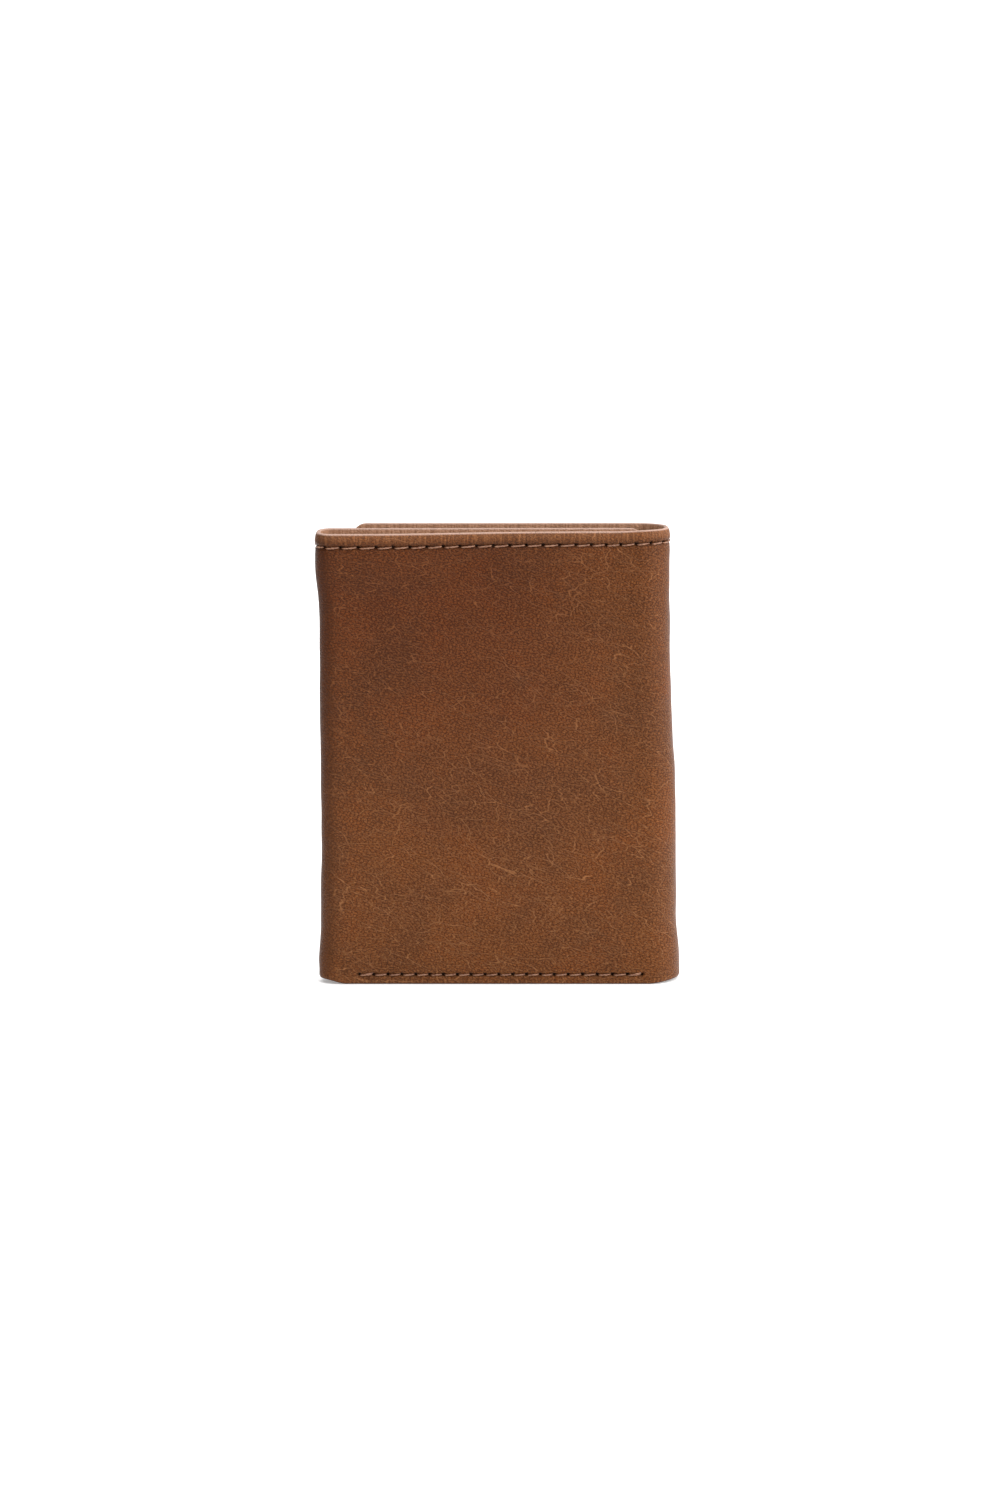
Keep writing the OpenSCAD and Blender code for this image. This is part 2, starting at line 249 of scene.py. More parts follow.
BLENDS = {
    # the stretch of skin that each piece covers, and the two bodies on either side of the fold corner in it
    "outer": (0, U_RIGHT, "outer_flap", "right_fold"),
    "right": (U_RIGHT, U_FRONT, "right_fold", "front_panel"),
    "left": (U_FRONT, U_LEFT, "front_panel", "left_fold"),
    "inner": (U_LEFT, U_END, "left_fold", "inner_flap"),
}


def bend(obj, part):
    """Bakes a piece's transform into its mesh; the ends of the fold corner in its stretch of skin are worked
    out but not used.
    """
    corner = {"outer": 1, "right": 3, "left": 5, "inner": 7}[part]
    start, end = (place(BREAKS[corner + k] + (0.001 - 0.002 * k), H / 2, COVER_T / 2) for k in (0, 1))
    start[2] = end[2] = H / 2
    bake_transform(obj)


def columns(step, first=0.0, last=None):
    """Places along the skin, about a step apart, with one on each fold line and cut."""
    last = U_END if last is None else last
    stops = [first] + [b for b in sorted([*BREAKS, U_RIGHT, U_FRONT, U_LEFT]) if first < b < last] + [last]
    out = []
    for a, b in zip(stops, stops[1:]):
        n = max(1, round((b - a) / step))
        out += list(a + (b - a) * np.arange(n) / n)
    return np.array(out + [last])


def heights(z0, z1, step, fine=(), fine_step=0.2, reach=1.2):
    """Heights from z0 to z1, closer together near each of the fine ones."""
    zs, z = [z0], z0
    while z < z1 - 1e-6:
        near = min([abs(z + step / 2 - f) for f in fine], default=99)
        z = min(z + (fine_step if near < reach else step), z1)
        zs.append(z)
    if len(zs) > 2 and zs[-1] - zs[-2] < 0.4 * fine_step:
        zs.pop(-2)
    return np.array(zs)


def layer(u, d0, d1, z0, z1, relief=None, inner_depth=None, step=1.0, fine=(), inner_fine=(),
          corners=(0, 0, 0, 0), rim=None):
    """A closed sheet between two depths, with rolled edges.

    Gives its points (u, z, d), its faces, and which points are inside. u are its columns.
    relief(u, z) sinks its outer face, and inner_depth(u, z) is its inner face's depth.
    fine and inner_fine are the heights that need closer rows, on its outer and on its inner face.
    corners are its radii: bottom and top at the first column, then bottom and top at the last.
    rim is half its thickness at its edges, where that isn't half of the depth between its faces.
    """
    edge = rim or (d1 - d0) / 2
    rolled = edge * (1 - np.cos(np.linspace(0, math.pi / 2, 7)))[:-1]
    u = np.unique(np.round(np.concatenate([u, u[0] + rolled, u[-1] - rolled]), 4))

    def inset(r_first, r_last):
        out = np.zeros(len(u))
        for at, r in ((u - u[0], r_first), (u[-1] - u, r_last)):
            near = np.clip(r - at, 0, r)
            out = np.maximum(out, r - np.sqrt(np.maximum(r * r - near * near, 0)))
        return out

    low, high = z0 + inset(corners[0], corners[2]), z1 - inset(corners[1], corners[3])
    at = np.minimum(u - u[0], u[-1] - u)
    closed = 1 - np.sqrt(np.maximum(1 - np.clip(1 - at / edge, 0, 1) ** 2, 0))
    z_out = heights(z0 + edge, z1 - edge, step, fine)
    z_in = heights(z0 + edge, z1 - edge, 4.0, inner_fine, 0.2, 2.2)[::-1]
    roll, rows = np.linspace(0, math.pi, 7)[1:-1], []
    for uk, lo, hi, shut in zip(u, low, high, closed):
        scale = (hi - lo) / (z1 - z0)
        zo, zi = lo + (z_out - z0) * scale, lo + (z_in - z0) * scale
        out = d0 + (relief(uk, zo) if relief else 0 * zo)
        deep = inner_depth(uk, zi) if inner_depth else d1 + 0 * zi
        mid = (out[len(out) // 2] + deep[len(deep) // 2]) / 2
        out, deep = out + (mid - out) * shut, deep + (mid - deep) * shut
        side = [(zo, out)]
        for z, tip, a, b in ((zo[-1], hi, out[-1], deep[0]), (zo[0], lo, deep[-1], out[0])):
            side.append((z + np.sin(roll) * (tip - z), (a + b) / 2 + (a - b) / 2 * np.cos(roll)))
        side.insert(2, (zi, deep))
        rows.append(np.concatenate([np.stack([np.full(len(z), uk), z, z * 0 + d], -1) for z, d in side]))
    uzd, n = np.array(rows), len(z_out) + len(roll) // 2
    inside = np.zeros(uzd.shape[:2], bool)
    inside[:, n + 1 : n + len(z_in) + len(roll)] = True
    return uzd.reshape(-1, 3), grid_faces(*uzd.shape[:2], wrap=True), inside.ravel()


def skin(name, d0, d1, z0, z1, finish, first=0.0, last=None, **shape):
    """A layer along the whole wallet, cut into four pieces that each hold one corner of a fold."""
    last = U_END if last is None else last
    u = shape.pop("u", None)
    u = columns(shape.get("step", 1.0), first, last) if u is None else u
    uzd, faces, inside = layer(u, d0, d1, z0, z1, **shape)
    points = place(*uzd.T)
    normals = normals_of(points, faces)
    uv = uzd[:, :2] + np.outer(inside, (INSIDE, 0))
    u_mid = uzd[faces, 0].mean(1)
    pieces = {}
    for part, (start, stop, *_) in BLENDS.items():
        used, index = np.unique(faces[(u_mid > start) & (u_mid < stop)], return_inverse=True)
        piece = make(f"{name}_{part}", points[used], index.reshape(-1, 4), finish, uv[used], normals[used])
        bend(piece, part)
        pieces[part] = piece
    return pieces


def slab(name, body, u0, u1, z0, z1, d0, d1, finish, **shape):
    """A flat sheet on one panel, from u0 to u1."""
    step = shape.setdefault("step", 1.0)
    n = max(2, round((u1 - u0) / step) + 1)
    uzd, faces, _ = layer(np.linspace(u0, u1, n), d0, d1, z0, z1, **shape)
    piece = make(name, place(*uzd.T), faces, finish, uzd[:, :2])
    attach(piece, body)
    return piece


# ---------------------------------------------------------------- stitches

def thread_run(start, end, d, lift, side=1):
    """One stitch from start to end, both (u, z), on the surface at depth d; side is -1 on an inner face.

    It comes up out of its hole, lies across the leather and goes down again, and its two plies twist.
    """
    n, sides = 13, 8
    t = np.linspace(0, 1, n)
    start, end = np.array(start, float), np.array(end, float)
    line = start + (end - start) * t[:, None]
    along = (end - start) / np.linalg.norm(end - start)
    across = np.array([-along[1], along[0]])
    height = lift * (1 - (2 * t - 1) ** 6) - 0.45 * (1 - np.sin(math.pi * t) ** 0.35)
    size = THREAD_R * (0.72 + 0.28 * np.sin(math.pi * t) ** 0.6)
    a = np.linspace(0, 2 * math.pi, sides, endpoint=False)
    twist = t[:, None] * 2.6 * math.pi
    r = size[:, None] * (1 + 0.16 * np.cos(2 * (a[None, :] - twist)))
    uz = line[:, None, :] + (r * np.cos(a))[..., None] * across
    depth = d - side * (height[:, None] + r * np.sin(a))
    return np.concatenate([uz, depth[..., None]], -1).reshape(-1, 3)


THREAD_FACES = grid_faces(13, 8, wrap=True)


def stitches(name, runs, finish):
    """A mesh of many stitches. Each run is (start, end, depth, lift, side)."""
    uzd = np.concatenate([thread_run(*r) for r in runs])
    faces = np.concatenate([THREAD_FACES + k * 13 * 8 for k in range(len(runs))])
    return make(name, place(*uzd.T), faces, finish, uzd[:, :2])


def row(u0, u1, z, pitch, d, lift=0.1, side=1, slant=-0.13, gap=0.3):
    """Stitches along u. Each one slopes a little, up to the right as the outer face is looked at."""
    n = round((u1 - u0) / pitch)
    p = (u1 - u0) / n
    return [((u0 + p * k + gap, z - slant), (u0 + p * (k + 1) - gap, z + slant), d, lift, side)
            for k in range(n)]


def column(u, z0, z1, pitch, d, lift=0.1, side=1, slant=0.12, gap=0.12):
    """Stitches along z."""
    n = round((z1 - z0) / pitch)
    p = (z1 - z0) / n
    return [((u - slant, z0 + p * k + gap), (u + slant, z0 + p * (k + 1) - gap), d, lift, side)
            for k in range(n)]


def split_runs(runs):
    """Sorts stitches by the stretch of skin they lie on."""
    out = {part: [] for part in BLENDS}
    for r in runs:
        u = (r[0][0] + r[1][0]) / 2
        out[next(p for p, (a, b, *_) in BLENDS.items() if a <= u <= b)].append(r)
    return out


# ---------------------------------------------------------------- camera and lights

CAMERA_ELEVATION = math.radians(10.3)
CAMERA_DISTANCE = 1.091
LOOK_AT = np.array([0.0005, 0.0, 0.0549])

camera = bpy.data.objects.new("camera", bpy.data.cameras.new("camera"))
camera.data.sensor_width = 36  # along the picture's long side
camera.data.lens = 110.7
away = np.array([0, -math.cos(CAMERA_ELEVATION), math.sin(CAMERA_ELEVATION)])
camera.location = LOOK_AT + CAMERA_DISTANCE * away
camera.rotation_euler = (math.pi / 2 - CAMERA_ELEVATION, 0, 0)
bpy.context.scene.collection.objects.link(camera)
bpy.context.scene.camera = camera
bpy.context.scene.view_settings.view_transform = "Standard"


def softbox(name, place_at, size, power):
    light = bpy.data.objects.new(name, bpy.data.lights.new(name, "AREA"))
    light.data.shape = "SQUARE"
    light.data.size = size
    light.data.energy = power
    light.location = place_at
    aim = np.array([0, 0, 0.06]) - np.array(place_at)
    tilt = math.acos(-aim[2] / np.linalg.norm(aim))
    light.rotation_euler = (tilt, 0, math.atan2(aim[0], -aim[1]) + math.pi)
    bpy.context.scene.collection.objects.link(light)
    return light


# How bright the studio is on the side towards SWEEP, and on the side away from it
SWEEP = (0.45, 0.4, 0.8)
LIT, UNLIT = 1.32, 0.12

softbox("overhead_softbox", (0.1, 0.15, 1.1), 0.6, 4.0)
softbox("key_softbox", (0.35, -0.75, 0.95), 0.3, 3.6)
softbox("right_softbox", (0.95, -0.25, 0.5), 0.4, 4.4)

world = bpy.data.worlds.new("studio")
world.use_nodes = True
nodes, links = world.node_tree.nodes, world.node_tree.links
towards = nodes.new("ShaderNodeVectorMath")
towards.operation = "DOT_PRODUCT"
towards.inputs[1].default_value = SWEEP
links.new(nodes.new("ShaderNodeTexCoord").outputs["Generated"], towards.inputs[0])
sweep = nodes.new("ShaderNodeMapRange")
sweep.interpolation_type = "SMOOTHSTEP"
for socket, value in zip(list(sweep.inputs)[1:5], (-0.3, 0.8, UNLIT, LIT)):
    socket.default_value = value
links.new(towards.outputs["Value"], sweep.inputs[0])
links.new(sweep.outputs[0], nodes["Background"].inputs["Strength"])
nodes["Background"].inputs["Color"].default_value = (1, 1, 1, 1)
bpy.context.scene.world = world


# ---------------------------------------------------------------- materials

class Shader:
    """Small helpers for building one node material on the skin's own (length, height) map."""

    def __init__(self, name):
        self.material = bpy.data.materials.new(name)
        self.material.use_nodes = True
        self.tree = self.material.node_tree
        self.bsdf = self.tree.nodes["Principled BSDF"]
        uv = self.node("ShaderNodeUVMap")
        uv.uv_map = "skin"
        self.uv = uv.outputs["UV"]

    def node(self, kind, **inputs):
        n = self.tree.nodes.new(kind)
        for key, value in inputs.items():
            self.put(n.inputs[key.replace("_", " ")], value)
        return n

    def put(self, socket, value):
        if isinstance(value, bpy.types.NodeSocket):
            self.tree.links.new(value, socket)
        else:
            socket.default_value = value

    def math(self, op, a, b=0.0, clamp=False):
        n = self.tree.nodes.new("ShaderNodeMath")
        n.operation, n.use_clamp = op, clamp
        self.put(n.inputs[0], a)
        self.put(n.inputs[1], b)
        return n.outputs[0]

    def mapped(self, turn=0.0, size=(1, 1), shift=(0, 0)):
        """The map turned by some degrees, its features drawn out to size along and across that direction."""
        n = self.tree.nodes.new("ShaderNodeMapping")
        n.vector_type = "TEXTURE"
        for socket, value in (("Vector", self.uv), ("Rotation", (0, 0, math.radians(turn))),
                              ("Scale", (*size, 1)), ("Location", (*shift, 0))):
            self.put(n.inputs[socket], value)
        return n.outputs["Vector"]

    def noise(self, scale, vector=None, detail=3.0, rough=0.55):
        n = self.tree.nodes.new("ShaderNodeTexNoise")
        n.noise_dimensions = "2D"
        for socket, value in (("Vector", vector or self.uv), ("Scale", scale), ("Detail", detail),
                              ("Roughness", rough)):
            self.put(n.inputs[socket], value)
        return n.outputs["Fac"]

    def cells(self, scale, vector=None):
        n = self.tree.nodes.new("ShaderNodeTexVoronoi")
        n.voronoi_dimensions, n.feature = "2D", "DISTANCE_TO_EDGE"
        self.put(n.inputs["Vector"], vector or self.uv)
        n.inputs["Scale"].default_value = scale
        return n.outputs["Distance"]

    def ramp(self, value, low, high, out_low=0.0, out_high=1.0):
        n = self.node("ShaderNodeMapRange")
        n.interpolation_type = "SMOOTHSTEP"
        for k, v in enumerate((value, low, high, out_low, out_high)):
            self.put(n.inputs[k], v)
        return n.outputs[0]

    def mix(self, factor, a, b, blend="MIX"):
        n = self.tree.nodes.new("ShaderNodeMix")
        n.data_type, n.blend_type = "RGBA", blend
        self.put(n.inputs[0], factor)
        for socket, value in ((n.inputs[6], a), (n.inputs[7], b)):
            self.put(socket, value if isinstance(value, bpy.types.NodeSocket) else (*value, 1))
        return n.outputs[2]

    def bump(self, height, strength, distance, normal=None):
        n = self.node("ShaderNodeBump", Height=height, Strength=strength, Distance=distance)
        if normal is not None:
            self.put(n.inputs["Normal"], normal)
        return n.outputs["Normal"]

    def finish(self, **inputs):
        for key, value in inputs.items():
            if isinstance(value, tuple) and len(value) == 3:
                value = (*value, 1)
            self.put(self.bsdf.inputs[key.replace("_", " ")], value)
        return self.material


def creases(s, turn, length, width, thin, shift):
    """Fine raised lines of the hide, and the shade beside them: the edges of long irregular cells.

    length and width are a cell's size in millimetres, and thin is a line's width as a share of a cell's.
    """
    at = s.mapped(turn, (length / MAP_MM, width / MAP_MM), shift)
    shove = s.tree.nodes.new("ShaderNodeTexNoise")
    shove.noise_dimensions = "2D"
    s.put(shove.inputs["Vector"], at)
    shove.inputs["Scale"].default_value = 1.3
    moved = s.tree.nodes.new("ShaderNodeVectorMath")
    moved.operation = "MULTIPLY_ADD"
    s.put(moved.inputs[0], shove.outputs["Color"])
    moved.inputs[1].default_value = (0.35, 0.85, 0)
    s.put(moved.inputs[2], at)
    away = s.cells(1.0, moved.outputs[0])
    keep = s.ramp(s.noise(0.5, moved.outputs[0], detail=2), 0.47, 0.62)
    line, beside = s.ramp(away, thin, 0.0), s.ramp(away, 4 * thin, 1.5 * thin)
    return s.math("MULTIPLY", line, keep), s.math("MULTIPLY", beside, keep)


# Each set of creases: its strength, its direction, its cells' length and width, its lines' width, its place
CREASE_SETS = ((1.0, 24, 10.0, 2.2, 0.034, (3, 1)), (0.85, 9, 9.0, 2.6, 0.03, (5, 8)),
               (0.75, 30, 4.0, 1.3, 0.05, (1, 6)), (0.35, -18, 6.0, 2.2, 0.035, (7, 2)),
               (0.9, 22, 26.0, 7.0, 0.01, (2, 5)), (0.35, 14, 3.2, 0.9, 0.07, (9, 4)))


def all_creases(s):
    lines = shade = 0.0
    for share, *shape in CREASE_SETS:
        line, beside = creases(s, *shape)
        lines = s.math("MAXIMUM", lines, s.math("MULTIPLY", line, share))
        shade = s.math("MAXIMUM", shade, s.math("MULTIPLY", beside, share))
    return lines, shade


def band(s, value, centre, half):
    """1 within half of the centre, fading out to 0 over as much again."""
    return s.ramp(s.math("ABSOLUTE", s.math("SUBTRACT", value, centre)), 2 * half, half)


def near_hole(s, u, start, step):
    """1 beside each hole of a row that starts there, 0 between them."""
    turn = s.math("FRACT", s.math("DIVIDE", s.math("SUBTRACT", u, start), step))
    return s.ramp(s.math("ABSOLUTE", s.math("SUBTRACT", turn, 0.5)), 0.33, 0.41)


def seam_shade(s, u, v):
    """How dark the painted shade is along the seams and just above the top seam: most of all in their holes.
    """
    above = s.ramp(s.math("ABSOLUTE", s.math("SUBTRACT", v, TOP_SEAM_Z + 0.5)), 1.3, 0.0)
    along = s.math("MAXIMUM", band(s, v, TOP_SEAM_Z, 0.28), s.math("MULTIPLY", above, 0.9))
    top_hole, low_hole = band(s, v, TOP_SEAM_Z + 0.2, 0.24), band(s, v, LOW_SEAM_Z + 0.16, 0.24)
    holes = s.math("MULTIPLY", near_hole(s, u, TOP_ROW[0], TOP_STEP), top_hole)
    low = band(s, v, LOW_SEAM_Z, 0.25)
    for start, stop in LOW_ROWS:
        pitch = (stop - start) / round((stop - start) / SEAM_PITCH)
        inside = s.math("MULTIPLY", s.ramp(u, start - 0.4, start), s.ramp(u, stop + 0.4, stop))
        along = s.math("MAXIMUM", along, s.math("MULTIPLY", low, inside))
        made = s.math("MULTIPLY", s.math("MULTIPLY", near_hole(s, u, start, pitch), low_hole), inside)
        holes = s.math("MAXIMUM", holes, made)
    return s.math("MAXIMUM", s.math("MULTIPLY", along, 0.38), holes)


def tint(colour, red, green=None, blue=None):
    """A colour made darker or lighter, by one share or by one for each channel."""
    return tuple(c * k for c, k in zip(colour, (red, green or red, blue or red)))


def handled(s, colour, height, u, v, base, light):
    """The cover's marks: its hems, the turned-in leather inside, a painted highlight on the hem's top roll, a
    darker front, painted shade along the seams and the bottom edge, and a lighter top edge.
    """
    hem = s.math("MAXIMUM", s.ramp(v, TOP_SEAM_Z - 0.1, TOP_SEAM_Z + 0.4), s.ramp(v, 2.0, 0.5))
    gathers = s.noise(1.0, s.mapped(0, (0.005, 0.05)), detail=3, rough=0.6)
    colour = s.mix(s.math("MULTIPLY", hem, s.ramp(gathers, 0.5, 0.66, 0, 0.24)), colour, light)
    colour = s.mix(s.math("MULTIPLY", hem, s.ramp(gathers, 0.46, 0.32, 0, 0.35)), colour, tint(base, 0.45))
    turned = s.ramp(u, INSIDE / 2, INSIDE / 1.9)
    colour = s.mix(s.math("MULTIPLY", turned, s.ramp(gathers, 0.3, 0.7, 0.45, 0.9)), colour, TURNED)
    height = s.math("ADD", height, s.math("MULTIPLY", hem, s.math("MULTIPLY", gathers, 1.1)))
    # A painted highlight on the hem's rolled top, stronger towards the top edge
    rising = s.ramp(v, H - 3.6, H - 0.2)
    colour = s.mix(s.math("MULTIPLY", rising, 0.16), colour, HEM_HIGHLIGHT)
    # The front is darkest at its top left; fitted to the tones of the photo
    front_darkening = s.math("MULTIPLY", s.ramp(v, 12, 100), band(s, u, U_FRONT, 38))
    front_darkening = s.math("MULTIPLY", front_darkening, s.math("SUBTRACT", 1.0, rising))
    front_darkening = s.math("MULTIPLY", front_darkening, s.ramp(u, U_FRONT - 34, U_FRONT + 2, 0.35, 0.9))
    colour = s.mix(front_darkening, colour, FRONT_DARKENING, blend="MULTIPLY")
    # Painted shade along the seams and in their holes
    colour = s.mix(s.math("MULTIPLY", seam_shade(s, u, v), 0.92), colour, PAINTED_SEAM_SHADE)
    # Lighter along the top edge
    colour = s.mix(s.math("MULTIPLY", s.ramp(v, H - 0.45, H - 0.1), 0.85), colour, LIGHT_TOP_EDGE)
    # Painted shade along the bottom edge
    colour = s.mix(s.math("MULTIPLY", s.ramp(v, 0.45, 0.1), 0.75), colour, tint(base, 0.3))
    return colour, height


def leather(name, base, light, grain=1.0, seams=False):
    """Waxed leather: pebbled grain, mottling, and creases that show lighter."""
    s = Shader(name)
    split = s.node("ShaderNodeSeparateXYZ", Vector=s.uv)
    u, v = (s.math("MULTIPLY", split.outputs[axis], MAP_MM) for axis in ("X", "Y"))
    pebbles = s.cells(1.0, s.mapped(15, (0.0088, 0.0064)))
    fibres = s.noise(1.0, s.mapped(20, (0.0058, 0.0036)), detail=3, rough=0.65)
    blotches = s.noise(5.5, detail=4, rough=0.6)
    spots = s.ramp(s.noise(16, s.mapped(shift=(4, 1)), detail=3), 0.56, 0.75)
    orange = s.ramp(s.noise(5, s.mapped(shift=(8, 3)), detail=3), 0.48, 0.68)
    lines, shade = all_creases(s)

    colour = s.mix(s.ramp(blotches, 0.3, 0.7), tint(base, 0.8, 0.84, 1.05), tint(base, 1.12))
    for share, mask, shown in ((0.55, orange, tint(base, 1.3, 1.16, 0.9)), (0.4, spots, tint(base, 0.6)),
                               (0.95 * grain, s.ramp(pebbles, 0.17, 0.02), tint(base, 0.3)),
                               (0.34 * grain, s.ramp(fibres, 0.5, 0.66), light),
                               (0.55 * grain, s.ramp(fibres, 0.47, 0.32), tint(base, 0.45)),
                               (0.3, shade, tint(base, 0.4)), (0.52 * grain, lines, light),
                               # painted shade down the left fold
                               (0.6, band(s, u, U_LEFT, 4), tint(base, 0.5))):
        colour = s.mix(s.math("MULTIPLY", mask, share), colour, shown)
    height = s.math("MULTIPLY", s.ramp(pebbles, 0.0, 0.3), 0.7)
    height = s.math("ADD", s.math("ADD", height, s.math("MULTIPLY", fibres, 0.6)), lines)
    if seams:
        colour, height = handled(s, colour, height, u, v, base, light)
    normal = s.bump(height, 1.0, 0.00007 * grain)
    rough = s.ramp(blotches, 0.3, 0.7, 0.38, 0.48)
    return s.finish(Base_Color=colour, Roughness=rough, Normal=normal, Specular_IOR_Level=0.13)


HIDE, HIDE_LIGHT = (0.143, 0.042, 0.0078), (0.41, 0.168, 0.062)
LIGHT_TOP_EDGE, PAINTED_SEAM_SHADE = (0.52, 0.34, 0.27), (0.012, 0.006, 0.004)
TURNED = (0.46, 0.25, 0.15)  # leather turned in at the hems
HEM_HIGHLIGHT = (0.36, 0.17, 0.095)  # painted highlight on the hem's outer roll, which is lighter
FRONT_DARKENING = (0.62, 0.48, 0.36)  # what multiplies the front's colour where it is darkest
cover_leather = leather("cover_leather", HIDE, HIDE_LIGHT, seams=True)
inner_leather = leather("inner_leather", tint(HIDE, 0.85), HIDE_LIGHT, grain=0.6)


def thread_material():
    s = Shader("waxed_thread")
    fibres = s.noise(1.0, s.mapped(25, (0.012, 0.0015)), detail=2)
    colour = s.mix(s.ramp(fibres, 0.3, 0.7), (0.15, 0.055, 0.025), (0.38, 0.19, 0.11))
    return s.finish(Base_Color=colour, Roughness=0.42, Normal=s.bump(fibres, 0.6, 0.00006))


def lining_material():
    s = Shader("lining_twill")
    twill = s.node("ShaderNodeTexWave", Vector=s.mapped(45), Scale=45.0, Distortion=0.4, Detail=1.0)
    weave = twill.outputs["Fac"]
    fibres = s.noise(260, detail=2)
    colour = s.mix(weave, (0.035, 0.020, 0.014), (0.085, 0.052, 0.036))
    colour = s.mix(s.math("MULTIPLY", fibres, 0.4), colour, (0.12, 0.08, 0.055))
    return s.finish(Base_Color=colour, Roughness=0.85, Normal=s.bump(weave, 0.6, 0.0001), Sheen_Weight=0.3,
                    Sheen_Roughness=0.5)


def board_material():
    s = Shader("bonded_board")
    fibres = s.noise(90, detail=4, rough=0.7)
    colour = s.mix(s.ramp(fibres, 0.3, 0.7), (0.20, 0.13, 0.08), (0.38, 0.28, 0.19))
    return s.finish(Base_Color=colour, Roughness=0.9, Normal=s.bump(fibres, 0.5, 0.0001))


def film_material():
    s = Shader("clear_film")
    waves = s.noise(3, s.mapped(10, (1, 0.5)), detail=1)
    scuffs = s.noise(1.0, s.mapped(60, (0.06, 0.008)), detail=3)
    rough = s.ramp(scuffs, 0.45, 0.8, 0.1, 0.28)
    return s.finish(Base_Color=(0.12, 0.115, 0.11), Roughness=rough, Normal=s.bump(waves, 0.3, 0.0003),
                    Alpha=0.18, Specular_IOR_Level=0.8)


thread = thread_material()
lining = lining_material()
board = board_material()
film = film_material()


# ---------------------------------------------------------------- outer cover

RIM_BAND, FOOT_BAND = 1.8, 0.8  # how far from an edge the leather starts to round over: top and ends, bottom
RIM_OUT, RIM_IN = 0.75, 1.2  # depths of its outer and inner face right at the edge
CREASE_Z = 35.7  # a long soft crease across the front
CREASE = ((u_front(16), u_front(8)), (u_front(-40), u_front(-34)))


def dip(x, width):
    return np.exp(-((x / width) ** 2))


def hole_distance(u, start, step):
    return abs((u - start + step / 2) % step - step / 2)


def from_rim(u, z):
    """Distance from the cover's nearest edge as a share of the band that rounds over, 1 inside it."""
    ends = min(u, U_END - u) / RIM_BAND
    return np.clip(np.minimum(np.minimum(z / FOOT_BAND, (H - z) / RIM_BAND), ends), 0, 1)


def hole(u, z, start, step, seam):
    """A stitch hole: a short slot, with a lip of leather pushed up below it."""
    du = hole_distance(u, start, step)
    return 0.8 * dip(du, 0.36) * dip(z - seam - 0.14, 0.3) - 0.13 * dip(du, 0.5) * dip(z - seam + 0.5, 0.3)


def cover_relief(u, z):
    """How far the outer face sinks below its plane: rounded rims, seams, holes, and the hide's own waves."""
    seam = TOP_SEAM_Z
    sink = 0.24 * dip(z - seam, 0.36) + 0.2 * dip(z - seam, 1.2) - 0.16 * dip(z - seam - 1.0, 0.6)
    if TOP_ROW[0] - 0.5 < u < TOP_ROW[1] + 0.5:
        sink += hole(u, z, TOP_ROW[0], TOP_STEP, seam)
    for start, stop in LOW_ROWS:
        step = (stop - start) / round((stop - start) / SEAM_PITCH)
        inside = fade(u, start - 0.7, start) * fade(u, stop + 0.7, stop)
        sink += inside * (0.22 * dip(z - LOW_SEAM_Z, 0.36) + 0.1 * dip(z - LOW_SEAM_Z, 1.2))
        if start - 0.5 < u < stop + 0.5:
            sink += hole(u, z, start, step, LOW_SEAM_Z)
    for at in END_COLUMNS:
        inside = fade(z, LOW_SEAM_Z, LOW_SEAM_Z + 1) * fade(z, TOP_SEAM_Z, TOP_SEAM_Z - 1)
        sink += inside * 0.3 * dip(u - at, 0.42)
    sink += RIM_OUT * (1 - np.sqrt(1 - (1 - from_rim(u, z)) ** 2))
    sink += 0.16 * dip(z - CREASE_Z - 0.5 * np.sin(u / 9), 0.7) * fade(u, *CREASE[0]) * fade(u, *CREASE[1])
    return sink + waves(u, z) * fade(z, H - 1, H - 6) * fade(z, 0.5, 5)


def make_waves():
    parts = []
    for size, height, count in ((60, 0.16, 6), (22, 0.07, 8), (9, 0.03, 10)):
        for _ in range(count):
            turn, phase, stretch = rng.uniform(0, math.pi), rng.uniform(0, 2 * math.pi), rng.uniform(0.7, 1.4)
            k = 2 * math.pi / (size * stretch)
            parts.append((k * math.cos(turn), k * math.sin(turn), phase, height / math.sqrt(count)))
    return np.array(parts).T


KU, KZ, PHASE, HEIGHT = make_waves()


def waves(u, z):
    """The hide's gentle unevenness, the same for any one place on it."""
    return (HEIGHT * np.sin(np.multiply.outer(z, KZ) + KU * u + PHASE)).sum(-1)


def hem_depth(u, z):
    """Depth of the cover's inner face: the turned-in edges are thicker than the leather between them."""
    far = U_END - SIDE_HEM
    ends = max(fade(u, SIDE_HEM + 0.15, SIDE_HEM - 0.15), fade(u, far - 0.15, far + 0.15))
    edges = np.maximum(fade(z, SIDE_HEM + 0.1, SIDE_HEM - 0.1), fade(z, H - TOP_HEM - 0.1, H - TOP_HEM + 0.1))
    thin = (HEM_D - RIM_IN) * (1 - from_rim(u, z)) ** 1.6
    return COVER_T + (HEM_D - COVER_T) * np.maximum(edges, ends) - thin


